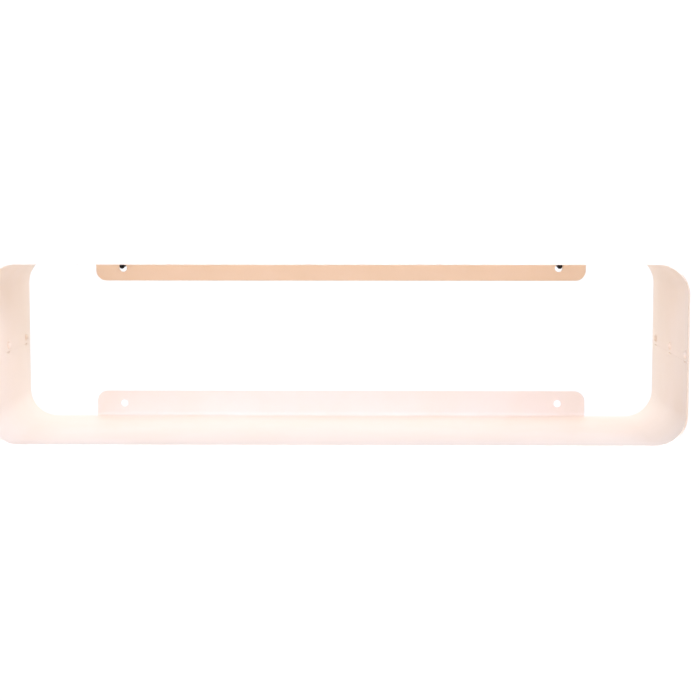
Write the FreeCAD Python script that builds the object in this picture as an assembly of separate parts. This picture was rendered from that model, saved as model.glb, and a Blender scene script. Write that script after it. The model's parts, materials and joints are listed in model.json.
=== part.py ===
"""Open wall shelf: two bent steel shells riveted into one rounded loop, hung on two wall screws.

Frame: the wall is the plane y = 0 and the shelf stands out towards -Y. +X is to the right and
+Z is up. The origin is on the wall plane, midway between the two lower wall holes.
All lengths are in millimetres.
"""
import FreeCAD, Part
import math
import os
from FreeCAD import Vector

# ---- driving dimensions -------------------------------------------------------------------
# the loop
shelf_width = 600.0            # outside, along X
shelf_height = 157.0           # outside, along Z
shelf_depth = 200.0            # from the front edge to the wall
sheet_thickness = 1.5
corner_inner_radius = 26.0     # the four large bends of the loop

# the wall flanges, one on each shell
flange_length = 468.0          # along X
flange_height = 25.5           # from the outer face of its panel to its free edge
flange_bend_radius = 3.0       # inside of the bend
flange_corner_radius = 10.0    # the two free corners
relief_width = 2.0             # notch beside each end of the bend
relief_extra_depth = 0.5       # how far the notch runs past the bend

# the wall holes, two in each flange
wall_hole_spacing = 416.0
wall_hole_diameter = 7.0
wall_hole_edge_distance = 12.0   # hole centre to the flange's free edge

# the riveted joint at mid-height of each side
rivet_count = 3                # along the depth, on each side
front_rivet_distance = 10.0    # first rivet to the front edge
rivet_pitch = 84.0
rivet_diameter = 4.0
rivet_head_diameter = 7.0
rivet_head_height = 2.4
rivet_tail_diameter = 6.0      # countersunk tail, flush with the tab's outer face
rivet_tail_depth = 1.0
rivet_fit = 0.05               # radial gap between a set rivet and its hole
joint_edge_distance = 6.0      # rivet centre to the seam and to the tab's top edge
seam_gap = 0.2                 # hairline between the two shells
tab_width = 12.0
tab_corner_radius = 3.0
joggle_height = 4.0            # the stretch below the seam where a tab steps outwards
joggle_bend_radius = 1.0       # inside of its two small bends
joggle_start = 1.0             # straight length before its first bend
slit_width = 1.0               # slit beside each tab

# the wall screws that the upper flange hangs on
screw_neck_diameter = 2.6      # plain, under the head; the hole's rim rests on it
screw_thread_diameter = 3.0    # outside of the thread, in the wall
screw_thread_start = 1.0       # behind the wall plane
screw_head_diameter = 5.0
screw_head_length = 3.0
screw_head_edge_radius = 0.8
screw_head_gap = 0.3           # head's back to the flange's front face
screw_spread = 0.8             # how far each screw sits outside its hole's centre line
screw_seat_gap = 0.05          # neck to the hole's rim
screw_wall_length = 30.0       # from the wall plane to the tip
screw_tip_length = 4.0
screw_drive_width = 2.0        # hexagonal socket, across its flats
screw_drive_depth = 1.2

# ---- places worked out from them ----------------------------------------------------------
half_width = shelf_width / 2
half_sheet = sheet_thickness / 2
underside_z = -(flange_height - wall_hole_edge_distance)
top_z = underside_z + shelf_height
upper_hole_z = top_z - (flange_height - wall_hole_edge_distance)
rivet_z = underside_z + shelf_height / 2
seam_z = rivet_z - joint_edge_distance
tab_top_z = rivet_z + joint_edge_distance
front_y = -shelf_depth
rivet_ys = [front_y + front_rivet_distance + number * rivet_pitch for number in range(rivet_count)]
rivet_places = ["front", "middle", "rear"]
sides = {"left": -1, "right": 1}


# ---- sheet metal --------------------------------------------------------------------------
def bent_sheet(path, inner_radius, to_space):
    """Face of a sheet seen edge-on, along a centre line whose inner corners become bends."""
    bend_radius = inner_radius + half_sheet
    points = [Vector(u, v, 0) for u, v in path]
    pieces = []
    start = points[0]
    for before, corner, after in zip(points, points[1:], points[2:]):
        way_in = (corner - before).normalize()
        way_out = (after - corner).normalize()
        turn = 1 if way_in.cross(way_out).z > 0 else -1
        tangent = bend_radius * math.tan(way_in.getAngle(way_out) / 2)
        bend_start = corner - way_in * tangent
        bend_end = corner + way_out * tangent
        centre = bend_start + Vector(-way_in.y, way_in.x, 0) * (turn * bend_radius)
        middle = centre + ((corner - centre).normalize()) * bend_radius
        if (bend_start - start).Length > 1e-6:
            pieces.append(("run", start, bend_start, None, None, 0))
        pieces.append(("bend", bend_start, bend_end, middle, centre, turn))
        start = bend_end
    pieces.append(("run", start, points[-1], None, None, 0))

    def offset_edges(side):
        edges = []
        for kind, first, last, middle, centre, turn in pieces:
            if kind == "run":
                way = (last - first).normalize()
                shift = Vector(-way.y, way.x, 0) * (side * half_sheet)
                edges.append([first + shift, last + shift])
            else:
                share = (bend_radius - side * turn * half_sheet) / bend_radius
                edges.append([centre + (point - centre) * share for point in (first, middle, last)])
        return edges

    left = offset_edges(1)
    right = [list(reversed(edge)) for edge in reversed(offset_edges(-1))]
    outline = left + [[left[-1][-1], right[0][0]]] + right + [[right[-1][-1], left[0][0]]]
    shapes = []
    for edge in outline:
        ends = [to_space(point.x, point.y) for point in edge]
        curve = Part.Arc(*ends) if len(ends) == 3 else Part.LineSegment(*ends)
        shapes.append(curve.toShape())
    return Part.Face(Part.Wire(shapes))


def box(low, high):
    size = Vector(*high) - Vector(*low)
    return Part.makeBox(size.x, size.y, size.z, Vector(*low))


def hole_along_y(x, z, diameter):
    """Cutter through a flange, from in front of it to behind it."""
    reach = 4 * sheet_thickness
    return Part.makeCylinder(diameter / 2, reach, Vector(x, -reach / 2 - half_sheet, z), Vector(0, 1, 0))


def half_loop(edge_z, panel_z):
    """U-shaped sheet: up one side from edge_z, across the panel and back down the other side."""
    side_x = half_width - half_sheet
    path = [(-side_x, edge_z), (-side_x, panel_z), (side_x, panel_z), (side_x, edge_z)]
    face = bent_sheet(path, corner_inner_radius, lambda u, v: Vector(u, front_y, v))
    return face.extrude(Vector(0, shelf_depth, 0))


def with_flange(shell, outer_z, way):
    """Bends a wall flange from the panel's rear edge. way is +1 where the flange points up."""
    bend_depth = flange_bend_radius + sheet_thickness
    clear_depth = bend_depth + relief_extra_depth
    panel_z = outer_z + way * half_sheet
    free_z = outer_z + way * flange_height
    half_length = flange_length / 2
    low_z, high_z = sorted((outer_z - way, outer_z + way * (sheet_thickness + 1)))
    for side in sides.values():
        low_x, high_x = sorted((side * half_length, side * (half_length + relief_width)))
        shell = shell.cut(box((low_x, -clear_depth, low_z), (high_x, 1, high_z)))
    shell = shell.cut(box((-half_length, -bend_depth, low_z), (half_length, 1, high_z)))
    path = [(-bend_depth, panel_z), (-half_sheet, panel_z), (-half_sheet, free_z)]
    face = bent_sheet(path, flange_bend_radius, lambda u, v: Vector(-half_length, u, v))
    flange = face.extrude(Vector(flange_length, 0, 0))
    corners = []
    for edge in flange.Edges:
        ends = [vertex.Point for vertex in edge.Vertexes]
        if len(ends) == 2 and all(abs(point.z - free_z) < 1e-6 for point in ends):
            if abs(ends[0].x - ends[1].x) < 1e-6:
                corners.append(edge)
    flange = flange.makeFillet(flange_corner_radius, corners)
    shell = shell.fuse(flange)
    hole_z = free_z - way * wall_hole_edge_distance
    for side in sides.values():
        shell = shell.cut(hole_along_y(side * wall_hole_spacing / 2, hole_z, wall_hole_diameter))
    return shell


# ---- the riveted joint --------------------------------------------------------------------
def rivet(side, y, grow=0.0):
    """Set rivet: round head inside, shank through wall and tab, countersunk tail flush outside.

    grow widens the shank and the tail, for the hole that the rivet fills.
    """
    shank = rivet_diameter / 2 + grow
    tail = rivet_tail_diameter / 2 + grow
    head = rivet_head_diameter / 2
    outer = sheet_thickness * 2
    neck = outer - rivet_tail_depth
    crown = rivet_head_height
    outline = [
        Part.LineSegment(Vector(-crown, 0, 0), Vector(outer, 0, 0)),
        Part.LineSegment(Vector(outer, 0, 0), Vector(outer, tail, 0)),
        Part.LineSegment(Vector(outer, tail, 0), Vector(neck, shank, 0)),
        Part.LineSegment(Vector(neck, shank, 0), Vector(0, shank, 0)),
        Part.LineSegment(Vector(0, shank, 0), Vector(0, head, 0)),
    ]
    ball = (head ** 2 + crown ** 2) / (2 * crown)
    half_angle = math.asin(head / ball) / 2
    shoulder = Vector(ball * (1 - math.cos(half_angle)) - crown, ball * math.sin(half_angle), 0)
    outline.append(Part.Arc(Vector(0, head, 0), shoulder, Vector(-crown, 0, 0)))
    face = Part.Face(Part.Wire([curve.toShape() for curve in outline]))
    solid = face.revolve(Vector(0, 0, 0), Vector(1, 0, 0), 360)
    if side < 0:
        solid = solid.mirror(Vector(0, 0, 0), Vector(1, 0, 0))
    return solid.translated(Vector(side * (half_width - sheet_thickness), y, rivet_z))


def tab(side, y):
    """Tongue of the lower shell: steps out by one sheet and lies against the upper shell."""
    wall_x = side * (half_width - half_sheet)
    tab_x = wall_x + side * sheet_thickness
    foot_z = seam_z - joggle_height
    step_z = foot_z + joggle_start
    path = [(wall_x, foot_z), (wall_x, step_z), (tab_x, step_z + sheet_thickness), (tab_x, tab_top_z)]
    front = y - tab_width / 2
    face = bent_sheet(path, joggle_bend_radius, lambda u, v: Vector(u, front, v))
    solid = face.extrude(Vector(0, tab_width, 0))
    corners = []
    for edge in solid.Edges:
        ends = [vertex.Point for vertex in edge.Vertexes]
        if len(ends) == 2 and all(abs(point.z - tab_top_z) < 1e-6 for point in ends):
            if abs(ends[0].y - ends[1].y) < 1e-6:
                corners.append(edge)
    return solid.makeFillet(tab_corner_radius, corners)


def tab_clearance(side, y):
    """What is cut from the lower shell's edge for a tab and the slits beside it."""
    low_x, high_x = sorted((side * (half_width - sheet_thickness - 1), side * (half_width + 1)))
    reach = tab_width / 2 + slit_width
    return box((low_x, y - reach, seam_z - joggle_height), (high_x, y + reach, seam_z + 1))


# ---- the parts ----------------------------------------------------------------------------
def upper_shell():
    shell = half_loop(seam_z + seam_gap / 2, top_z - half_sheet)
    shell = with_flange(shell, top_z, -1)
    for side in sides.values():
        for y in rivet_ys:
            shell = shell.cut(rivet(side, y, rivet_fit))
    return shell.removeSplitter()


def lower_shell():
    shell = half_loop(seam_z - seam_gap / 2, underside_z + half_sheet)
    shell = with_flange(shell, underside_z, 1)
    for side in sides.values():
        for y in rivet_ys:
            shell = shell.cut(tab_clearance(side, y))
            shell = shell.fuse(tab(side, y))
            shell = shell.cut(rivet(side, y, rivet_fit))
    return shell.removeSplitter()


def wall_screw(side):
    """Round-headed screw in the wall. The rim of the flange's hole rests on its neck."""
    neck = screw_neck_diameter / 2
    thread = screw_thread_diameter / 2
    head = screw_head_diameter / 2
    reach = wall_hole_diameter / 2 - neck - screw_seat_gap
    spread = min(screw_spread, reach)
    rise = math.sqrt(reach ** 2 - spread ** 2)
    head_back = -sheet_thickness - screw_head_gap
    head_front = head_back - screw_head_length
    tip_start = screw_wall_length - screw_tip_length
    edge = screw_head_edge_radius
    bulge = edge * (1 - math.sqrt(0.5))
    outline = [
        Part.LineSegment(Vector(0, head_front, 0), Vector(head - edge, head_front, 0)),
        Part.Arc(Vector(head - edge, head_front, 0), Vector(head - bulge, head_front + bulge, 0),
                 Vector(head, head_front + edge, 0)),
        Part.LineSegment(Vector(head, head_front + edge, 0), Vector(head, head_back, 0)),
        Part.LineSegment(Vector(head, head_back, 0), Vector(neck, head_back, 0)),
        Part.LineSegment(Vector(neck, head_back, 0), Vector(neck, screw_thread_start, 0)),
        Part.LineSegment(Vector(neck, screw_thread_start, 0), Vector(thread, screw_thread_start, 0)),
        Part.LineSegment(Vector(thread, screw_thread_start, 0), Vector(thread, tip_start, 0)),
        Part.LineSegment(Vector(thread, tip_start, 0), Vector(0, screw_wall_length, 0)),
        Part.LineSegment(Vector(0, screw_wall_length, 0), Vector(0, head_front, 0)),
    ]
    face = Part.Face(Part.Wire([curve.toShape() for curve in outline]))
    solid = face.revolve(Vector(0, 0, 0), Vector(0, 1, 0), 360)
    corner = screw_drive_width / math.sqrt(3)
    turns = [math.radians(60 * number) for number in range(7)]
    hexagon = Part.makePolygon([Vector(corner * math.cos(turn), head_front - 1, corner * math.sin(turn))
                                for turn in turns])
    socket = Part.Face(hexagon).extrude(Vector(0, screw_drive_depth + 1, 0))
    solid = solid.cut(socket)
    return solid.translated(Vector(side * (wall_hole_spacing / 2 + spread), 0, upper_hole_z + rise))


def build():
    parts = {"upper_shell": upper_shell(), "lower_shell": lower_shell()}
    for side_name, side in sides.items():
        for place, y in zip(rivet_places, rivet_ys):
            parts["rivet_" + side_name + "_" + place] = rivet(side, y)
        parts["wall_screw_" + side_name] = wall_screw(side)
    return parts


os.makedirs("parts", exist_ok=True)
for node, shape in build().items():
    shape.exportStep("parts/" + node + ".step")
    print(node, "solids", len(shape.Solids), "valid", shape.isValid(), "volume", round(shape.Volume, 1))
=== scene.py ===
"""Open wall shelf of bent sheet steel, made around its packed frame.

Two bent shells are riveted into one rounded loop, and it hangs on two wall screws. Lengths are in
metres, in the packed model's frame: the wall is the plane y = 0, the shelf stands out towards -Y,
+X is to the right and +Z is up.
"""
import json
import math

import bmesh
import bpy
from bpy.props import FloatProperty, FloatVectorProperty, PointerProperty
from mathutils import Euler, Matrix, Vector
from mathutils.geometry import delaunay_2d_cdt


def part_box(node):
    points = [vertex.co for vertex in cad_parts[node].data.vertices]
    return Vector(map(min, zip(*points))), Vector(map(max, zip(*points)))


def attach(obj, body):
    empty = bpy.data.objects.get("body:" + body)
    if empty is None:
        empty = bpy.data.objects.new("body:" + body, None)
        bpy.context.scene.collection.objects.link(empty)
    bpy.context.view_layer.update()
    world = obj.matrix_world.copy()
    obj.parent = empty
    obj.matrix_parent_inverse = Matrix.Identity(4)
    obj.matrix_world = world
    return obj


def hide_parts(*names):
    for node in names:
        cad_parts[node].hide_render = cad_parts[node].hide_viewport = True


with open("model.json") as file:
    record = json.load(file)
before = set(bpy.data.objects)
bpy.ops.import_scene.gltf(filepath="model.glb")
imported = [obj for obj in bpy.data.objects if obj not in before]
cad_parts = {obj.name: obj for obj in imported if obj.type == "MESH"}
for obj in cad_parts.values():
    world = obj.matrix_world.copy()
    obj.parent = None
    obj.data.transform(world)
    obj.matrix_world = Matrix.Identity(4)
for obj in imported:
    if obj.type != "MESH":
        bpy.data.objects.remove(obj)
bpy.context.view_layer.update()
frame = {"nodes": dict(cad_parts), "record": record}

bl_info = {
    "name": "Bent Steel Wall Shelf",
    "version": (1, 0, 0),
    "blender": (4, 5, 0),
    "location": "3D View > Sidebar > Wall Shelf",
    "description": "Makes a riveted wall shelf of bent, powder coated sheet steel",
    "category": "Object",
}

MM = 0.001
BODY = "root"

# ---- places that the packed frame gives ------------------------------------------------------
upper_low, upper_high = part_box("upper_shell")
lower_low, lower_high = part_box("lower_shell")
mounts = {mount["name"]: mount for mount in frame["record"]["mounts"]}
hole_pattern = mounts["lower_wall_holes"]["dims"]

half_width = upper_high.x
depth = upper_high.y - upper_low.y
sheet_gauge = lower_high.x - upper_high.x      # the lower shell's tabs lie one sheet outside
shell_places = {"upper_shell": upper_high.z, "lower_shell": lower_low.z}
hole_rise = -lower_low.z                       # the lower wall holes are at the origin
rivet_names = sorted(name for name in frame["nodes"] if name.startswith("rivet_"))
screw_names = sorted(name for name in frame["nodes"] if name.startswith("wall_screw_"))


def box_middle(node):
    """Middle of a CAD node's box."""
    low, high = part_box(node)
    return (low + high) / 2


rivet_height = box_middle(rivet_names[0]).z
rivet_backs = sorted({round(box_middle(name).y - upper_low.y, 6) for name in rivet_names})


# ---- sizes and colours that a user may change ------------------------------------------------
def length(name, description, default):
    """Setting that is a length in metres."""
    return FloatProperty(name=name, description=description, default=default, min=0.0,
                         precision=5, subtype="DISTANCE", unit="LENGTH")


def share(name, description, default):
    """Setting from 0 to 1."""
    return FloatProperty(name=name, description=description, default=default, min=0.0, max=1.0,
                         subtype="FACTOR")


def strength(name, description, default):
    """Setting of a light, from 0 up."""
    return FloatProperty(name=name, description=description, default=default, min=0.0)


def colour(name, description, default):
    """Setting that is a colour."""
    return FloatVectorProperty(name=name, description=description, default=default, size=3,
                               min=0.0, max=1.0, subtype="COLOR")


class SheetSizes(bpy.types.PropertyGroup):
    """Sizes of the two bent shells."""

    gauge: length("Sheet gauge", "Thickness of the steel sheet", sheet_gauge)
    corner_radius: length("Corner radius", "Inside radius of the loop's bends", 26 * MM)
    edge_rounding: length("Edge rounding", "Radius of the coated sheet's edges", 0.12 * MM)
    cut_corner: length("Cut corner", "Radius of the sheet's square corners", 0.5 * MM)
    notch_corner: length("Notch corner", "Radius in the bottom of slits and notches", 0.12 * MM)
    flange_length: length("Flange length", "Length of each wall flange", 468 * MM)
    flange_height: length("Flange height", "From the panel's outer face to the free edge", 25.5 * MM)
    flange_bend: length("Flange bend", "Inside radius of the flange's bend", 3 * MM)
    flange_corner: length("Flange corner", "Radius of the flange's free corners", 10 * MM)
    relief_width: length("Relief width", "Width of the notch beside the flange", 2 * MM)
    relief_depth: length("Relief depth", "How far the notch runs past the bend", 0.5 * MM)
    hole_radius: length("Hole radius", "Radius of the wall holes", hole_pattern["hole_r_mm"] * MM)
    hole_spacing: length("Hole spacing", "Between the wall holes", hole_pattern["spacing_x_mm"] * MM)
    seam_gap: length("Seam gap", "Hairline between the two shells", 0.04 * MM)
    seam_drop: length("Seam drop", "From the rivets down to the seam", 6 * MM)
    tab_width: length("Tab width", "Width of a riveted tab", 12 * MM)
    tab_corner: length("Tab corner", "Radius of a tab's corners", 3 * MM)
    slit_width: length("Slit width", "Slit beside each tab", 0.3 * MM)
    joggle_height: length("Joggle height", "From a tab's foot to the seam", 2.65 * MM)
    joggle_start: length("Joggle start", "Straight foot below the joggle", 0.6 * MM)
    joggle_bend: length("Joggle bend", "Inside radius of the joggle's bends", 0.3 * MM)


class RivetSizes(bpy.types.PropertyGroup):
    """Sizes of a set rivet."""

    shank: length("Shank radius", "Radius of the shank", 2 * MM)
    head: length("Head radius", "Radius of the round head", 3.5 * MM)
    crown: length("Head height", "Height of the round head", 2.4 * MM)
    lip: length("Head lip", "Upright edge under the dome", 0.3 * MM)
    tail: length("Tail radius", "Radius of the countersunk tail", 3 * MM)
    tail_depth: length("Tail depth", "Depth of the countersink", 1 * MM)
    dimple: length("Tail dimple", "Hollow that the setting tool leaves", 0.12 * MM)
    fit: length("Hole fit", "Radial gap between a rivet and its hole", 0.05 * MM)
    coat: length("Coat fillet", "Coating drawn in under the head", 0.18 * MM)


class ScrewSizes(bpy.types.PropertyGroup):
    """Sizes of a wall screw."""

    head: length("Head radius", "Radius of the head", 2.5 * MM)
    head_length: length("Head length", "Length of the head", 3 * MM)
    head_edge: length("Head edge", "Rounding of the head's edge", 0.8 * MM)
    neck: length("Neck radius", "Radius of the plain neck", 1.3 * MM)
    thread: length("Thread radius", "Outside radius of the thread", 1.5 * MM)
    core: length("Core radius", "Radius at the bottom of the thread", 1.05 * MM)
    pitch: length("Thread pitch", "Advance of one turn", 1.35 * MM)
    thread_start: length("Thread start", "From the wall plane to the thread", 1 * MM)
    tip: length("Tip length", "Length of the point", 4 * MM)
    drive: length("Drive width", "Hexagonal socket, across its flats", 2 * MM)
    drive_depth: length("Drive depth", "Depth of the socket", 1.2 * MM)


class Finishes(bpy.types.PropertyGroup):
    """Colours and textures of the coatings."""

    coat: colour("Powder coat", "Colour of the shelf", (0.90, 0.77, 0.655))
    # The deep coat colour is used for the coat's thicker clouds. It is also the colour of the painted
    # shade in the rivets' crease.
    coat_deep_and_shade: colour("Deep coat", "Colour where the coat lies thicker", (0.87, 0.735, 0.60))
    # Painted shade: the sides' front edges are darkened to stand in for the shade there. The coat is
    # no thinner there.
    edge_shade: colour("Side edges", "Colour of the thin coat on the sides' front edges",
                      (0.66, 0.51, 0.38))
    coat_roughness: share("Coat roughness", "From mirror to dull", 0.42)
    rivet_roughness: share("Rivet roughness", "Of the rivet heads, which take more polish", 0.3)
    peel_size: length("Peel size", "Width of the coat's fine ripples", 0.9 * MM)
    peel_height: length("Peel height", "Height of the coat's fine ripples", 0.012 * MM)
    screw: colour("Screw black", "Colour of the wall screws", (0.004, 0.003, 0.003))
    screw_worn: colour("Worn screw", "Colour where the black is thin", (0.012, 0.009, 0.008))
    screw_roughness: share("Screw roughness", "From mirror to dull", 0.5)


class StageSettings(bpy.types.PropertyGroup):
    """The floor, the lights and the camera."""

    floor_drop: length("Floor drop", "From the wall holes down to the floor", 0.9)
    # Painted shadow: the floor below the shelf is darker, as if the shelf shaded it.
    floor_shade_below: colour("Floor below", "Colour of the floor below the shelf", (0.64, 0.60, 0.53))
    floor_far: colour("Floor around", "Colour of the floor further away", (0.87, 0.82, 0.74))
    floor_fade: length("Floor fade", "From the shelf out to the floor's lighter part", 2.2)
    card: strength("White card", "Strength of the white card behind the shelf", 1.38)
    softbox: strength("Softbox", "Strength of the wide softbox in front, above the camera", 7.0)
    softbox_colour: colour("Softbox colour", "Colour of the softbox", (0.64, 0.75, 1.0))
    warm_power: strength("Warm reflector", "Power of the low reflector in front in watts", 6.0)
    warm_colour: colour("Reflector colour", "Colour of the low reflector", (1.0, 0.5, 0.08))
    room: strength("Room", "Strength of the dim room in front", 0.03)


# ---- sheet metal -----------------------------------------------------------------------------
LARGE_BEND_STEP = 3.75         # degrees between the mesh lines of the loop's and the joggles' bends
FLANGE_BEND_STEP = 7.5         # the same in the flange's bend
FEWEST_BEND_STEPS = 6
WALL_HOLE_STEPS = 64           # mesh steps round a wall hole
RIVET_HOLE_STEPS = 40          # and round a rivet's hole
JOGGLE_TURN = 45               # degrees that the sheet turns out, and then back, in a joggle
TOUCHING = 1e-7                # a bend line's end this near to the outline lies on it
MERGING = 1e-9                 # points of the flat blank this near are one
FILL_AROUND_HOLES = 4          # the kind of filling that leaves holes open


def run(distance):
    """Straight stretch of a way along the sheet: its length, and no turn."""
    return distance, 0.0


def bend(radius, degrees):
    """Bent stretch of a way along the sheet: its length along the middle, and its turn."""
    turn = math.radians(degrees)
    return abs(radius * turn), turn


def walk(way, distance):
    """How far forward and up a way has come after a distance, and its heading there."""
    forward = rise = heading = 0.0
    for stretch, turn in way:
        part = min(distance / stretch, 1.0)
        after = heading + turn * part
        if turn:
            radius = stretch / turn
            forward += radius * (math.sin(after) - math.sin(heading))
            rise += radius * (math.cos(heading) - math.cos(after))
        else:
            forward += stretch * part * math.cos(heading)
            rise += stretch * part * math.sin(heading)
        heading = after
        distance -= stretch
        if distance <= 0:
            break
    return forward, rise, heading


def bend_marks(way, step_degrees=LARGE_BEND_STEP):
    """Distances along a way where the mesh needs a line: through each bend, from end to end."""
    step = math.radians(step_degrees)
    marks = []
    start = 0.0
    for stretch, turn in way:
        if turn:
            steps = max(FEWEST_BEND_STEPS, round(abs(turn) / step))
            marks += [start + stretch * number / steps for number in range(steps + 1)]
        start += stretch
    return marks


def way_length(way):
    """Length of a way, measured along the sheet."""
    return sum(stretch for stretch, _ in way)


def corner_steps(radius):
    """Mesh steps round a corner of the blank, more for a larger one."""
    return 3 + round(3 * math.sqrt(radius / MM))


def square_outline(corners, line_ends):
    """Closed outline of square corners, each (u, v, radius), going round with the sheet on its left.

    The result draws it at an inset. It gives each point's place, the way out of the sheet there,
    and the end of a bend line that the point carries.
    """
    def draw(inset):
        drawn = []
        befores = corners[-1:] + corners[:-1]
        afters = corners[1:] + corners[:1]
        for before, corner, after in zip(befores, corners, afters):
            place, radius = Vector(corner[:2]), corner[2]
            way_in = (place - Vector(before[:2])).normalized()
            step_out = Vector(after[:2]) - place
            way_out = step_out.normalized()
            turn = 1 if way_in.cross(way_out) > 0 else -1
            out = Vector((way_in.y, -way_in.x))
            centre = place - way_in * radius - out * (turn * radius)
            steps = corner_steps(radius)
            for number in range(steps + 1):
                angle = turn * math.pi / 2 * number / steps
                outward = Vector((out.x * math.cos(angle) - out.y * math.sin(angle),
                                  out.x * math.sin(angle) + out.y * math.cos(angle)))
                drawn.append((centre + outward * (turn * radius - inset), outward, None))
            outward = Vector((way_out.y, -way_out.x))
            on_run = []
            for end in line_ends:
                reach = Vector(end) - place
                along = reach.dot(way_out)
                on_line = abs(reach.dot(outward)) < TOUCHING
                if on_line and radius < along < step_out.length - after[2]:
                    on_run.append((along, end))
            for along, end in sorted(on_run):
                drawn.append((Vector(end) - outward * inset, outward, end))
        return drawn
    return draw


def round_hole(u, v, radius, steps):
    """Round hole, drawn at an inset as square_outline does."""
    def draw(inset):
        drawn = []
        for number in range(steps):
            angle = -math.tau * number / steps
            outward = Vector((-math.cos(angle), -math.sin(angle)))
            drawn.append((Vector((u, v)) - outward * (radius + inset), outward, None))
        return drawn
    return draw


def rounded_rim(gauge, rounding, steps=4):
    """Section of a cut edge, from the sheet's inner face to its outer face: inset, lift, tilt."""
    rim = []
    for face in (1, -1):
        for number in range(steps + 1):
            angle = math.pi / 2 * number / steps
            tilt = angle if face > 0 else math.pi / 2 + angle
            inset = rounding * (1 - math.sin(tilt))
            lift = face * (gauge / 2 - rounding) + rounding * math.cos(tilt)
            rim.append((inset, lift, tilt))
    return rim


def countersunk_rim(gauge, rounding, widening, sink_depth):
    """Section of a hole that is straight at the inner face and widens towards the outer face."""
    slope = math.atan2(sink_depth, widening)
    foot, lip = 0.04, 0.03      # shares of the sink that ease its inner and its outer edge
    rim = [step for step in rounded_rim(gauge, rounding) if step[1] > 0]
    rim.append((0.0, sink_depth - gauge / 2, math.pi / 2))
    rim.append((widening * foot, sink_depth * (1 - foot) - gauge / 2, math.pi / 2 + slope))
    rim.append((widening * (1 - lip), sink_depth * lip - gauge / 2, math.pi / 2 + slope))
    rim.append((widening, -gauge / 2, math.pi))
    return rim


def close_face(ring_sets, places, lines):
    """Faces that fill one side of the sheet between its rims, split along the bend lines."""
    numbers = [number for ring in ring_sets for number in ring]
    order = {number: index for index, number in enumerate(numbers)}
    edges = [(order[one], order[other]) for one, other in lines]
    for ring in ring_sets:
        edges += [(order[one], order[other]) for one, other in zip(ring, ring[1:] + ring[:1])]
    flat = [places[number] for number in numbers]
    _, _, filled, sources, _, _ = delaunay_2d_cdt(flat, edges, [], FILL_AROUND_HOLES, MERGING)
    holes = [set(ring) for ring in ring_sets[1:]]
    faces = []
    for face in filled:
        corners = [numbers[sources[corner][0]] for corner in face]
        if not any(hole.issuperset(corners) for hole in holes):
            faces.append(corners)
    return faces


def bent_sheet(name, outline, rim, holes, lines, fold):
    """Closed mesh of a bent sheet, with rounded edges and true normals."""
    spots, normals, places, faces = [], [], [], []
    inner_rings, outer_rings = [], []
    carried = [{}, {}]
    for draw, section in [(outline, rim), *holes]:
        rings = []
        for inset, lift, tilt in section:
            ring = []
            for place, outward, end in draw(inset):
                middle, along_u, along_v = fold(place)
                up = along_u.cross(along_v)
                sideways = along_u * outward.x + along_v * outward.y
                if end is not None and len(rings) in (0, len(section) - 1):
                    carried[0 if not rings else 1][end] = len(spots)
                ring.append(len(spots))
                spots.append(middle + up * lift)
                normals.append(sideways * math.sin(tilt) + up * math.cos(tilt))
                places.append(place)
            rings.append(ring)
        for ring, below in zip(rings, rings[1:]):
            for index in range(len(ring)):
                faces.append((ring[index - 1], ring[index], below[index], below[index - 1]))
        inner_rings.append(rings[0])
        outer_rings.append(rings[-1])
    for rings, ends in zip((inner_rings, outer_rings), carried):
        pairs = [(ends[one], ends[other]) for one, other in lines]
        faces += close_face(rings, places, pairs)
    return solid_mesh(name, spots, faces, normals)


def solid_mesh(name, spots, faces, normals=None, crease=math.radians(38)):
    """Object of a closed, smooth shaded mesh. Without normals, edges past the crease stay sharp."""
    shape = bmesh.new()
    corners = [shape.verts.new(spot) for spot in spots]
    for face in faces:
        shape.faces.new([corners[number] for number in face])
    bmesh.ops.recalc_face_normals(shape, faces=shape.faces)
    mesh = bpy.data.meshes.new(name)
    shape.to_mesh(mesh)
    shape.free()
    mesh.shade_smooth()
    if normals is None:
        mesh.set_sharp_from_angle(angle=crease)
    else:
        mesh.normals_split_custom_set_from_vertices(normals)
    piece = bpy.data.objects.new(name, mesh)
    bpy.context.scene.collection.objects.link(piece)
    return piece


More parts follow.
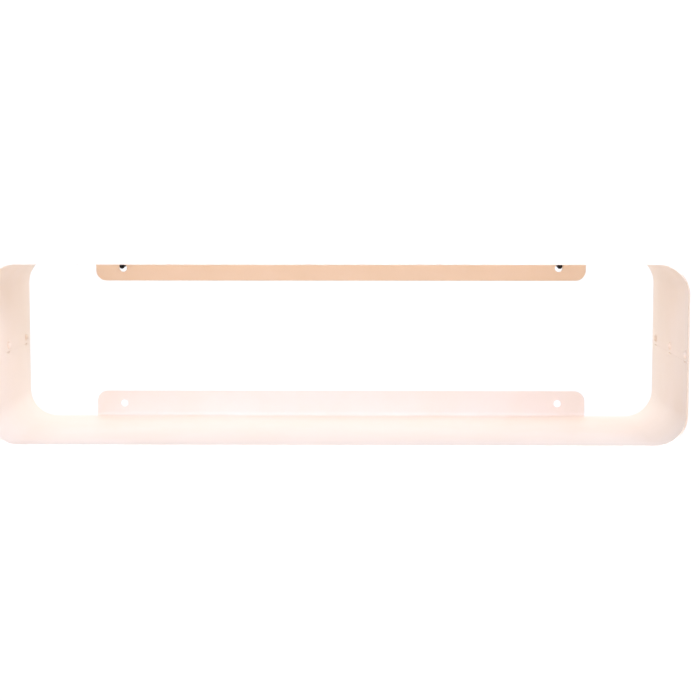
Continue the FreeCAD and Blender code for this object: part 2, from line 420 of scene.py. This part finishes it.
class ShellBlank:
    """Flat blank of one shell, and how it is bent.

    A place on the blank is (u, v): u runs round the loop from the panel's middle, and v runs from
    the front edge to the wall. Bent, the shell stands on its panel's outer face at height 0.
    """

    def __init__(self, sheet, rivets, edge_rise, rivet_rise, with_tabs):
        self.sheet = sheet
        self.rivets = rivets
        self.half_tab = sheet.tab_width / 2
        self.half_flange = sheet.flange_length / 2
        self.flange_inner = sheet.flange_bend + sheet.gauge
        corner_outer = sheet.corner_radius + sheet.gauge
        corner = [run(half_width - corner_outer), bend(sheet.corner_radius + sheet.gauge / 2, 90)]
        self.side_way = corner + [run(edge_rise - corner_outer)]
        self.edge_u = way_length(self.side_way)
        self.flange_way = [run(depth - self.flange_inner),
                           bend(sheet.flange_bend + sheet.gauge / 2, 90),
                           run(sheet.flange_height - self.flange_inner)]
        self.tab_backs = rivet_backs if with_tabs else []
        foot_rise = edge_rise + sheet.seam_gap / 2 - sheet.joggle_height
        self.foot_u = way_length(corner) + foot_rise - corner_outer
        joggle_radius = sheet.joggle_bend + sheet.gauge / 2
        tangent = joggle_radius * math.tan(math.radians(JOGGLE_TURN / 2))
        top_rise = rivet_rise + sheet.seam_drop      # as far above the rivet as the seam is below
        self.tab_way = corner + [
            run(foot_rise - corner_outer + sheet.joggle_start - tangent),
            bend(joggle_radius, -JOGGLE_TURN),
            run(sheet.gauge * math.sqrt(2) - 2 * tangent),
            bend(joggle_radius, JOGGLE_TURN),
            run(top_rise - foot_rise - sheet.joggle_start - sheet.gauge - tangent),
        ]
        self.tab_u = way_length(self.tab_way)
        self.rivet_u = self.edge_u - (edge_rise - rivet_rise)
        if with_tabs:
            self.rivet_u = self.tab_u - sheet.seam_drop

    def corners(self):
        """Right half of the outline from the front edge to the flange, then its mirror."""
        sheet = self.sheet
        cut, notch = sheet.cut_corner, sheet.notch_corner
        half = [(self.edge_u, 0.0, cut)]
        for back in self.tab_backs:
            near, far = self.half_tab, self.half_tab + sheet.slit_width
            half += [(self.edge_u, back - far, cut), (self.foot_u, back - far, notch),
                     (self.foot_u, back - near, notch), (self.tab_u, back - near, sheet.tab_corner),
                     (self.tab_u, back + near, sheet.tab_corner), (self.foot_u, back + near, notch),
                     (self.foot_u, back + far, notch), (self.edge_u, back + far, cut)]
        relief_u = self.half_flange + sheet.relief_width
        relief_v = depth - self.flange_inner - sheet.relief_depth
        half += [(self.edge_u, depth, cut), (relief_u, depth, cut), (relief_u, relief_v, notch),
                 (self.half_flange, relief_v, notch),
                 (self.half_flange, way_length(self.flange_way), sheet.flange_corner)]
        return half + [(-u, v, radius) for u, v, radius in reversed(half)]

    def lines(self):
        """Lines across the blank that its bends follow, each as its two ends."""
        found = []
        for side in (-1, 1):
            found += [((side * mark, 0.0), (side * mark, depth)) for mark in bend_marks(self.side_way)]
            for back in self.tab_backs:
                for mark in bend_marks(self.tab_way):
                    if mark > self.foot_u:
                        found.append(((side * mark, back - self.half_tab),
                                      (side * mark, back + self.half_tab)))
        for mark in bend_marks(self.flange_way, FLANGE_BEND_STEP):
            found.append(((-self.half_flange, mark), (self.half_flange, mark)))
        return found

    def holes(self):
        """Wall holes in the flange and rivet holes in the sides, each with the section of its rim."""
        sheet, rivets = self.sheet, self.rivets
        rim = rounded_rim(sheet.gauge, sheet.edge_rounding)
        if self.tab_backs:
            rivet_rim = countersunk_rim(sheet.gauge, sheet.notch_corner, rivets.tail - rivets.shank,
                                        rivets.tail_depth)
        else:
            rivet_rim = rounded_rim(sheet.gauge, sheet.notch_corner, steps=2)
        hole_v = way_length(self.flange_way) - (sheet.flange_height - hole_rise)
        rivet_hole = rivets.shank + rivets.fit
        found = []
        for side in (-1, 1):
            wall_hole = round_hole(side * sheet.hole_spacing / 2, hole_v, sheet.hole_radius,
                                   WALL_HOLE_STEPS)
            found.append((wall_hole, rim))
            for back in rivet_backs:
                hole = round_hole(side * self.rivet_u, back, rivet_hole, RIVET_HOLE_STEPS)
                found.append((hole, rivet_rim))
        return found

    def fold(self, place):
        """Where a place on the blank comes to lie, at mid sheet, and its two directions there."""
        u, v = place
        if abs(u) < self.half_flange + self.sheet.relief_width / 2 and v > depth - self.flange_inner:
            forward, rise, heading = walk(self.flange_way, v)
            middle = Vector((u, forward - depth, rise + self.sheet.gauge / 2))
            return middle, Vector((1, 0, 0)), Vector((0, math.cos(heading), math.sin(heading)))
        side = math.copysign(1, u)
        on_tab = abs(u) > self.foot_u and any(
            abs(v - back) < self.half_tab + self.sheet.slit_width / 2 for back in self.tab_backs)
        forward, rise, heading = walk(self.tab_way if on_tab else self.side_way, abs(u))
        middle = Vector((side * forward, v - depth, rise + self.sheet.gauge / 2))
        return middle, Vector((math.cos(heading), 0, side * math.sin(heading))), Vector((0, 1, 0))


def make_shell(node, sheet, rivets):
    """One shell. Both are bent upwards, and the upper one is then mirrored in its height."""
    upright = 1 if node == "lower_shell" else -1
    outer_z = shell_places[node]
    rivet_rise = upright * (rivet_height - outer_z)
    seam_rise = rivet_rise - upright * sheet.seam_drop
    blank = ShellBlank(sheet, rivets, seam_rise - sheet.seam_gap / 2, rivet_rise,
                       with_tabs=upright > 0)

    def fold(place):
        middle, along_u, along_v = (Vector((bent.x, bent.y, bent.z * upright))
                                    for bent in blank.fold(place))
        return middle + Vector((0, 0, outer_z)), along_u, along_v

    lines = blank.lines()
    ends = {end for line in lines for end in line}
    rim = rounded_rim(sheet.gauge, sheet.edge_rounding)
    outline = square_outline(blank.corners(), ends)
    return bent_sheet(node + "_coated", outline, rim, blank.holes(), lines, fold)


# ---- turned pieces ---------------------------------------------------------------------------
def turned(name, rings, axis, start, steps=48):
    """Closed piece turned about an axis. A ring is (distance along it, radius or radius at a turn).

    The first and last rings have no radius, and close the piece.
    """
    axis = Vector(axis)
    across = axis.orthogonal().normalized()
    beside = axis.cross(across)
    spots, faces = [start + axis * rings[0][0]], []
    for along, radius in rings[1:-1]:
        for number in range(steps):
            turn = math.tau * number / steps
            reach = radius(turn) if callable(radius) else radius
            out = across * math.cos(turn) + beside * math.sin(turn)
            spots.append(start + axis * along + out * reach)
    spots.append(start + axis * rings[-1][0])
    last = len(spots) - 1
    for number in range(steps):
        following = (number + 1) % steps
        faces.append((0, 1 + number, 1 + following))
        for ring in range(len(rings) - 3):
            low, high = 1 + ring * steps, 1 + (ring + 1) * steps
            faces.append((low + number, high + number, high + following, low + following))
        faces.append((last, last - steps + following, last - steps + number))
    return solid_mesh(name, spots, faces)


def arc_rings(centre, radius, first, final, steps, middle_radius=0.0):
    """Rings along an arc of a turned piece's section, from one angle to another in degrees."""
    rings = []
    for number in range(steps + 1):
        angle = math.radians(first + (final - first) * number / steps)
        rings.append((centre - radius * math.cos(angle), middle_radius + radius * math.sin(angle)))
    return rings


HEAD_ARC_STEPS = 14
LIP_LEVELS = (0.8, 0.5)        # shares of the lip's height at which the head's upright edge has a ring
LIP_SWELL = 1.004              # radius of the upright edge, in head radii
SEAT_SHARE = 1.2               # ring under the head, in shank radii
SHANK_START = 0.1              # ring below the head, in shank radii
CONE_END = 0.1                 # the countersink's cone ends this share of its depth before its rim

# Coat under a rivet's head: how far back from the sheet and out past the head, in coat fillets.
COAT_FILLET = ((0.5, 0.15), (0.2, 0.45), (0.06, 1.0), (0.0, 0.8))
# Edge of a rivet's tail: shares of the countersink's depth and of the tail's radius.
TAIL_EDGE = ((0.02, 0.99), (0.0, 0.955), (0.0, 0.7))
# Hollow in a rivet's tail: shares of the dimple's depth and of the tail's radius.
TAIL_DIMPLE = ((0.3, 0.6), (0.85, 0.3), (1.0, 0.0))


def make_rivet(node, rivets, gauge):
    """Set rivet: round head inside, shank through both sheets, countersunk tail flush outside."""
    middle = box_middle(node)
    side = math.copysign(1, middle.x)
    start = Vector((side * (half_width - gauge), middle.y, rivet_height))
    crown = rivets.crown - rivets.lip
    ball = (rivets.head ** 2 + crown ** 2) / (2 * crown)
    edge_angle = math.degrees(math.asin(rivets.head / ball))
    outer = 2 * gauge
    short = rivets.tail_depth * CONE_END
    rings = arc_rings(ball - rivets.crown, ball, 0, edge_angle, HEAD_ARC_STEPS)
    rings += [(-rivets.lip * level, rivets.head * LIP_SWELL) for level in LIP_LEVELS]
    rings += [(-rivets.coat * back, rivets.head + rivets.coat * out) for back, out in COAT_FILLET]
    rings += [
        (0.0, rivets.shank * SEAT_SHARE),
        (0.0, rivets.shank),
        (rivets.shank * SHANK_START, rivets.shank),
        (outer - rivets.tail_depth, rivets.shank),
        (outer - short, rivets.tail - short),
    ]
    rings += [(outer - rivets.tail_depth * deep, rivets.tail * out) for deep, out in TAIL_EDGE]
    rings += [(outer - rivets.dimple * deep, rivets.tail * out) for deep, out in TAIL_DIMPLE]
    return turned(node + "_coated", rings, (side, 0, 0), start)


CORNER_EASE = 0.985            # a hexagon's corners end at this share of their reach
CREST_SHARPNESS = 1.5          # a higher value narrows the thread's crest
RINGS_A_TURN = 9               # rings in one turn of the thread
SOCKET_FLARE = 0.05            # step of the chamfer at the socket's mouth, in drive widths
SOCKET_MOUTH = 1.12            # width of the socket's mouth, in drive widths
FLOOR_POINT = 3                # the floor's middle lies this many chamfer steps below its edge
FLOOR_RING = 0.6               # width of a ring on the floor, in drive widths
THROAT_LEVELS = (2, 1.1)       # rings in the socket behind its mouth, in chamfer steps
MOUTH_LIP = 1.06               # eased rim round the mouth, in mouth widths
FACE_DISH = 0.12               # hollow of the head's face, a share of its edge rounding
DISH_LEVELS = (0.4, 0.3)       # how deep in the hollow the mouth and its rim lie
FACE_RING = 0.8                # ring on the face, a share of the way out to the rounded edge
FACE_ANGLE = 8                 # degrees at which the head's edge leaves its face
EDGE_ARC_STEPS = 10
HEAD_WALL = 1.2                # ring below the head's edge rounding, in edge roundings
HEAD_REAR = 0.15 * MM          # rounding of the head's rear edge
HEAD_REAR_MIDDLE = 0.04 * MM   # the same, half way round it
NECK_FILLET = 0.3 * MM         # from the head's rear to the neck
NECK_FILLET_MIDDLE = (0.1 * MM, 0.08 * MM)


def hexagon(across_flats):
    """Radius of a hexagon at a turn, with its corners slightly eased."""
    def radius(turn):
        flat_turn = (turn + math.radians(30)) % math.radians(60) - math.radians(30)
        return min(across_flats / 2 / math.cos(flat_turn),
                   across_flats / math.sqrt(3) * CORNER_EASE)
    return radius


def thread(screws, along):
    """Radius of the thread at a turn, at a distance along the screw."""
    def radius(turn):
        phase = math.cos(math.tau * along / screws.pitch - turn)
        crest = max(0.0, phase) ** CREST_SHARPNESS
        return screws.core + (screws.thread - screws.core) * crest
    return radius


def scaled(radius, scale, base=0.0):
    """A radius at a turn, with what it has over a base radius scaled."""
    return lambda turn: base + (radius(turn) - base) * scale


def make_wall_screw(node, screws):
    """Wall screw: round head with a hexagonal socket, plain neck, thread and point."""
    low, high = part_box(node)
    middle = box_middle(node)
    start = Vector((middle.x, low.y, middle.z))
    socket = hexagon(screws.drive)
    mouth = hexagon(screws.drive * SOCKET_MOUTH)
    flare = screws.drive * SOCKET_FLARE
    face = screws.head - screws.head_edge
    dish = screws.head_edge * FACE_DISH
    rear = screws.head_length
    mouth_level, lip_level = DISH_LEVELS
    middle_back, middle_out = NECK_FILLET_MIDDLE
    rings = [
        (screws.drive_depth + flare * FLOOR_POINT, 0.0),
        (screws.drive_depth + flare, scaled(socket, FLOOR_RING)),
        (screws.drive_depth, socket),
    ]
    rings += [(flare * level, socket) for level in THROAT_LEVELS]
    rings += [
        (dish * mouth_level, mouth),
        (dish * lip_level, scaled(mouth, MOUTH_LIP)),
        (0.0, face * FACE_RING),
    ]
    rings += arc_rings(screws.head_edge, screws.head_edge, FACE_ANGLE, 90, EDGE_ARC_STEPS, face)
    rings += [
        (screws.head_edge * HEAD_WALL, screws.head),
        (rear - HEAD_REAR, screws.head),
        (rear - HEAD_REAR_MIDDLE, screws.head - HEAD_REAR_MIDDLE),
        (rear, screws.head - HEAD_REAR),
        (rear, screws.neck + NECK_FILLET),
        (rear + middle_back, screws.neck + middle_out),
        (rear + NECK_FILLET, screws.neck),
    ]
    thread_start = screws.thread_start - low.y
    rings.append((thread_start - screws.pitch / 2, screws.neck))
    finish = high.y - low.y
    tip_start = finish - screws.tip
    step = screws.pitch / RINGS_A_TURN
    along = thread_start
    while along < finish - step:
        cut = thread(screws, along)
        if along < tip_start:
            cut_share = min(1.0, (along - thread_start) / screws.pitch)
            rings.append((along, scaled(cut, cut_share, screws.neck)))
        else:
            rings.append((along, scaled(cut, (finish - along) / screws.tip)))
        along += step
    rings.append((finish, 0.0))
    return turned(node + "_coated", rings, (0, 1, 0), start)


# ---- shader maths ----------------------------------------------------------------------------
class Wire:
    """A socket that shader maths can be written with."""

    def __init__(self, shading, socket):
        self.shading = shading
        self.socket = socket

    def maths(self, operation, first, second):
        return self.shading.node("ShaderNodeMath", {"operation": operation}, {0: first, 1: second})

    def __add__(self, other):
        return self.maths("ADD", self, other)

    def __radd__(self, other):
        return self.maths("ADD", other, self)

    def __sub__(self, other):
        return self.maths("SUBTRACT", self, other)

    def __rsub__(self, other):
        return self.maths("SUBTRACT", other, self)

    def __mul__(self, other):
        return self.maths("MULTIPLY", self, other)

    def __rmul__(self, other):
        return self.maths("MULTIPLY", other, self)

    def __abs__(self):
        return self.maths("ABSOLUTE", self, 0.0)


class Shading:
    """The nodes of a material or a world, made by one method."""

    def __init__(self, owner):
        owner.use_nodes = True
        self.owner = owner
        self.tree = owner.node_tree
        self.tree.nodes.clear()

    def node(self, kind, settings, sockets, output=0):
        """Makes a node: its settings first, then the values or links of its sockets."""
        made = self.tree.nodes.new(kind)
        for name, value in settings.items():
            setattr(made, name, value)
        for name, value in sockets.items():
            if isinstance(value, Wire):
                self.tree.links.new(value.socket, made.inputs[name])
            else:
                made.inputs[name].default_value = value
        return Wire(self, made.outputs[output]) if made.outputs else None

    def noise(self, place, size, detail, roughness=0.5):
        """Soft cloudy value from 0 to 1, with patches of about a size."""
        return self.node("ShaderNodeTexNoise", {"noise_dimensions": "3D"},
                         {"Vector": place, "Scale": 1 / size, "Detail": detail,
                          "Roughness": roughness})

    def clamped(self, value, low, high):
        """0 below low, 1 above high, and a smooth step between."""
        return self.node("ShaderNodeMapRange", {"interpolation_type": "SMOOTHSTEP"},
                         {"Value": value, "From Min": low, "From Max": high})

    def mixed(self, factor, first, second):
        """A colour between two colours."""
        return self.node("ShaderNodeMix", {"data_type": "RGBA"},
                         {"Factor": factor, 6: first, 7: second}, 2)

    def axis(self, vector, name):
        """One component of a vector."""
        return self.node("ShaderNodeSeparateXYZ", {}, {"Vector": vector}, name)

    def bumped(self, height, distance, depth_share=1.0):
        """Normals of a surface whose height varies by up to a distance."""
        return self.node("ShaderNodeBump", {},
                         {"Height": height, "Distance": distance, "Strength": depth_share},
                         "Normal")


class Finish(Shading):
    """A surface's material."""

    def __init__(self, name):
        super().__init__(bpy.data.materials.new(name))

    def place(self):
        """Position on the piece, in metres."""
        return self.node("ShaderNodeTexCoord", {}, {}, "Object")

    def close(self, shader_sockets):
        """Adds the surface shader and the output."""
        shader = self.node("ShaderNodeBsdfPrincipled", {}, shader_sockets)
        self.node("ShaderNodeOutputMaterial", {}, {"Surface": shader})
        return self.owner


def opaque(tone):
    """A colour with full cover."""
    return (*tone, 1.0)


LACQUER_IOR = 1.5              # how strongly a coat bends light


def powder_coat(name, finishes, roughness, crease=None, shade_side_edges=False):
    """Satin powder coat: fine ripples, slight clouds of thicker coat and a few sunk specks.

    crease is the distance from the middle plane at which a piece meets the sheet, where the tone
    turns to the deep colour as a painted crease shade. With side edges, the sides' front edges
    get a painted shade.
    """
    cloud_size = 60 * MM
    cloud_edges, peel_edges, speck_edges = (0.35, 0.7), (0.45, 0.75), (0.02, 0.05)
    # At the crease, the share of the deep colour is a painted shade.
    cloud_share, peel_share, crease_shade_share = 0.55, 0.25, 0.4      # of the deep colour
    crease_width = 0.3 * MM
    speck_spacing = 5 * MM
    edge_start, edge_end = 0.02 * MM, 0.3 * MM                   # back from the front edge
    side_start, side_end = 12 * MM, 2 * MM                       # in from the side's face
    finish = Finish(name)
    place = finish.place()
    peel = finish.noise(place, finishes.peel_size, 2.0, 0.45)
    grit = finish.noise(place, finishes.peel_size / 4, 1.0)
    cloud = finish.noise(place, cloud_size, 3.0)
    clouded = finish.clamped(cloud, *cloud_edges) * cloud_share
    thickness_and_shade = clouded + finish.clamped(peel, *peel_edges) * peel_share
    # Painted shade: a darker ring in the crease where the piece meets the sheet, in the deep coat
    # colour. The shank and tail past it take that tone too.
    if crease is not None:
        across = abs(finish.axis(place, "X"))
        thickness_and_shade = thickness_and_shade + finish.clamped(across, crease - crease_width, crease) * crease_shade_share
    speck = finish.node("ShaderNodeTexVoronoi", {"feature": "F1"},
                        {"Vector": place, "Scale": 1 / speck_spacing}, "Distance")
    dots = 1.0 - finish.clamped(speck, *speck_edges)
    height = peel * 0.8 + grit * 0.2 - dots * 0.4
    tone = finish.mixed(thickness_and_shade, opaque(finishes.coat), opaque(finishes.coat_deep_and_shade))
    # Painted shade on the side walls' front edges: the front 0.3 mm turns dark, fading in over the 12
    # mm nearest the side's face.
    if shade_side_edges:
        behind = finish.clamped(finish.axis(place, "Y"), edge_start - depth, edge_end - depth)
        across = abs(finish.axis(place, "X"))
        side = finish.clamped(across, half_width - side_start, half_width - side_end)
        tone = finish.mixed(side * (1.0 - behind), tone, opaque(finishes.edge_shade))
    return finish.close({
        "Base Color": tone,
        "Roughness": roughness - 0.05 + peel * 0.07 + grit * 0.03,
        "IOR": LACQUER_IOR,
        "Normal": finish.bumped(height, finishes.peel_height),
    })


def black_coat(name, finishes):
    """Thin black coat on turned steel, with patches where it is slightly worn."""
    grain_size, patch_size = 0.25 * MM, 1.6 * MM
    worn_edges = (0.5, 0.72)
    grain_height = 0.02 * MM
    finish = Finish(name)
    place = finish.place()
    grain = finish.noise(place, grain_size, 3.0, 0.6)
    patch = finish.noise(place, patch_size, 2.0)
    worn = finish.clamped(grain * 0.6 + patch * 0.4, *worn_edges)
    return finish.close({
        "Base Color": finish.mixed(worn, opaque(finishes.screw), opaque(finishes.screw_worn)),
        "Roughness": finishes.screw_roughness - 0.06 + grain * 0.16,
        "IOR": LACQUER_IOR,
        "Specular IOR Level": 0.3,
        "Normal": finish.bumped(grain * 0.7 + patch * 0.3, grain_height, 0.6),
    })


def pale_floor_shaded_below(name, settings):
    """Plain matt floor, a little deeper in tone below the shelf: a painted shadow of the shelf."""
    cloud_size = 0.4
    fade_start = settings.floor_fade * 0.4
    finish = Finish(name)
    place = finish.place()
    cloud = finish.noise(place, cloud_size, 2.0)
    reach = finish.node("ShaderNodeVectorMath", {"operation": "LENGTH"}, {0: place}, "Value")
    # Painted shadow: darker near the shelf, fading out to the floor's own colour.
    far = finish.clamped(reach, fade_start, settings.floor_fade)
    return finish.close({
        "Base Color": finish.mixed(far, opaque(settings.floor_shade_below), opaque(settings.floor_far)),
        "Roughness": 0.75 + cloud * 0.1,
        "Specular IOR Level": 0.2,
    })


def finish_piece(piece, material, node):
    """Gives a piece its material, and has it stand for its CAD node on that node's body."""
    piece.data.materials.append(material)
    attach(piece, BODY)
    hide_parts(node)


# ---- operators -------------------------------------------------------------------------------
class SHELF_OT_bend_shells(bpy.types.Operator):
    """Bend the upper and the lower shell from flat blanks and coat them"""

    bl_idname = "shelf.bend_shells"
    bl_label = "Bend Shells"

    def execute(self, context):
        scene = context.scene
        finishes = scene.shelf_finishes
        # The shells' coat carries painted shade on the sides' front edges.
        coat = powder_coat("shell_powder_coat_edge_shaded", finishes, finishes.coat_roughness,
                           shade_side_edges=True)
        for node in shell_places:
            piece = make_shell(node, scene.shelf_sheet, scene.shelf_rivets)
            finish_piece(piece, coat, node)
        return {"FINISHED"}


class SHELF_OT_set_rivets(bpy.types.Operator):
    """Set the rivets that join the two shells at each side"""

    bl_idname = "shelf.set_rivets"
    bl_label = "Set Rivets"

    def execute(self, context):
        scene = context.scene
        gauge = scene.shelf_sheet.gauge
        finishes = scene.shelf_finishes
        # The rivets' coat carries painted shade in the crease at the sheet's inner face.
        coat = powder_coat("rivet_powder_coat_crease_shaded", finishes, finishes.rivet_roughness,
                           half_width - gauge)
        for node in rivet_names:
            finish_piece(make_rivet(node, scene.shelf_rivets, gauge), coat, node)
        return {"FINISHED"}


class SHELF_OT_drive_screws(bpy.types.Operator):
    """Drive the two wall screws that the upper flange hangs on"""

    bl_idname = "shelf.drive_screws"
    bl_label = "Drive Wall Screws"

    def execute(self, context):
        scene = context.scene
        black = black_coat("screw_black_coat", scene.shelf_finishes)
        for node in screw_names:
            finish_piece(make_wall_screw(node, scene.shelf_screws), black, node)
        return {"FINISHED"}


class SHELF_OT_set_stage(bpy.types.Operator):
    """Lay the floor and set up the studio light and the camera"""

    bl_idname = "shelf.set_stage"
    bl_label = "Set Stage"

    def execute(self, context):
        settings = context.scene.shelf_stage
        lay_floor(settings)
        light_studio(settings)
        place_camera()
        context.scene.view_settings.view_transform = "Standard"
        return {"FINISHED"}


FLOOR_HALF_SIDE = 30.0

# Edges of the card and of the softbox, as the Y, Z or X of a direction of length 1: where the light
# begins to change, and where it has changed.
CARD_EDGE = (-0.04, 0.04)
BOX_BOTTOM = (0.235, 0.285)
BOX_TOP = (0.5, 0.78)
BOX_LEFT = (-0.7, -0.5)
BOX_RIGHT = (0.7, 0.86)
WHITE = (1.0, 1.0, 1.0)

REFLECTOR_SIZE = (2.2, 0.8)
REFLECTOR_PLACE = (0.0, -1.5, -0.55)

CAMERA_PLACE = (0.0347, -1.763, 0.2109)
CAMERA_TURN = 0.836            # degrees to the left
CAMERA_TILT = 5.169            # degrees down
CAMERA_LENS = 94.85            # millimetres, on the sensor's width
CAMERA_SENSOR = 36.0


def lay_floor(settings):
    """Wide floor below the shelf."""
    corners = [(-1, -1), (1, -1), (1, 1), (-1, 1)]
    mesh = bpy.data.meshes.new("floor")
    places = [(x * FLOOR_HALF_SIDE, y * FLOOR_HALF_SIDE, 0) for x, y in corners]
    mesh.from_pydata(places, [], [(0, 1, 2, 3)])
    floor = bpy.data.objects.new("floor", mesh)
    floor.location.z = -settings.floor_drop
    floor.data.materials.append(pale_floor_shaded_below("pale_floor_shaded_below", settings))
    bpy.context.scene.collection.objects.link(floor)


def light_studio(settings):
    """White card behind the shelf; in front, a wide softbox in a dim room, and a low reflector."""
    world = bpy.data.worlds.new("studio")
    shading = Shading(world)
    direction = shading.node("ShaderNodeTexCoord", {}, {}, "Generated")
    rise = shading.axis(direction, "Z")
    behind = shading.clamped(shading.axis(direction, "Y"), *CARD_EDGE)
    across = shading.axis(direction, "X")
    box = shading.clamped(rise, *BOX_BOTTOM) * (1.0 - shading.clamped(rise, *BOX_TOP))
    box = box * shading.clamped(across, *BOX_LEFT) * (1.0 - shading.clamped(across, *BOX_RIGHT))
    front = box * settings.softbox + settings.room
    shine = behind * settings.card + (1.0 - behind) * front
    tone = shading.mixed(behind, opaque(settings.softbox_colour), opaque(WHITE))
    background = shading.node("ShaderNodeBackground", {}, {"Color": tone, "Strength": shine})
    shading.node("ShaderNodeOutputWorld", {}, {"Surface": background})
    bpy.context.scene.world = world
    hang_reflector(settings)


def hang_reflector(settings):
    """Low warm reflector in front, aimed at the middle of the shelf."""
    lamp = bpy.data.lights.new("warm_reflector", "AREA")
    lamp.energy = settings.warm_power
    lamp.color = settings.warm_colour
    lamp.shape = "RECTANGLE"
    lamp.size, lamp.size_y = REFLECTOR_SIZE
    light = bpy.data.objects.new("warm_reflector", lamp)
    light.location = REFLECTOR_PLACE
    aim = Vector((0.0, -depth / 2, rivet_height)) - light.location
    light.rotation_euler = aim.to_track_quat("-Z", "Y").to_euler()
    light.visible_camera = False
    bpy.context.scene.collection.objects.link(light)


def place_camera():
    """Camera in front of the shelf and a little above its top, looking slightly down."""
    camera = bpy.data.cameras.new("camera")
    camera.sensor_width = CAMERA_SENSOR
    camera.lens = CAMERA_LENS
    viewer = bpy.data.objects.new("camera", camera)
    viewer.location = CAMERA_PLACE
    viewer.rotation_euler = Euler((math.radians(90 - CAMERA_TILT), 0.0, math.radians(CAMERA_TURN)))
    bpy.context.scene.collection.objects.link(viewer)
    bpy.context.scene.camera = viewer


# ---- panel and registration ------------------------------------------------------------------
GROUPS = {
    "shelf_sheet": SheetSizes,
    "shelf_rivets": RivetSizes,
    "shelf_screws": ScrewSizes,
    "shelf_finishes": Finishes,
    "shelf_stage": StageSettings,
}
OPERATORS = (SHELF_OT_bend_shells, SHELF_OT_set_rivets, SHELF_OT_drive_screws, SHELF_OT_set_stage)


class SHELF_PT_maker(bpy.types.Panel):
    """Lists the shelf's steps and their sizes"""

    bl_idname = "SHELF_PT_maker"
    bl_label = "Wall Shelf"
    bl_space_type = "VIEW_3D"
    bl_region_type = "UI"
    bl_category = "Wall Shelf"

    def draw(self, context):
        for operator in OPERATORS:
            self.layout.operator(operator.bl_idname)
        for name, group in GROUPS.items():
            box = self.layout.box()
            box.label(text=group.__doc__)
            for size in group.__annotations__:
                box.prop(getattr(context.scene, name), size)


def register():
    """Adds the settings, the operators and the panel to Blender."""
    for group in GROUPS.values():
        bpy.utils.register_class(group)
    for name, group in GROUPS.items():
        setattr(bpy.types.Scene, name, PointerProperty(type=group))
    for operator in OPERATORS:
        bpy.utils.register_class(operator)
    bpy.utils.register_class(SHELF_PT_maker)


def unregister():
    """Takes them away again."""
    bpy.utils.unregister_class(SHELF_PT_maker)
    for operator in reversed(OPERATORS):
        bpy.utils.unregister_class(operator)
    for name in GROUPS:
        delattr(bpy.types.Scene, name)
    for group in reversed(GROUPS.values()):
        bpy.utils.unregister_class(group)


def main():
    """Makes the shelf and its stage."""
    register()
    bpy.ops.shelf.bend_shells()
    bpy.ops.shelf.set_rivets()
    bpy.ops.shelf.drive_screws()
    bpy.ops.shelf.set_stage()


if __name__ == "__main__":
    main()
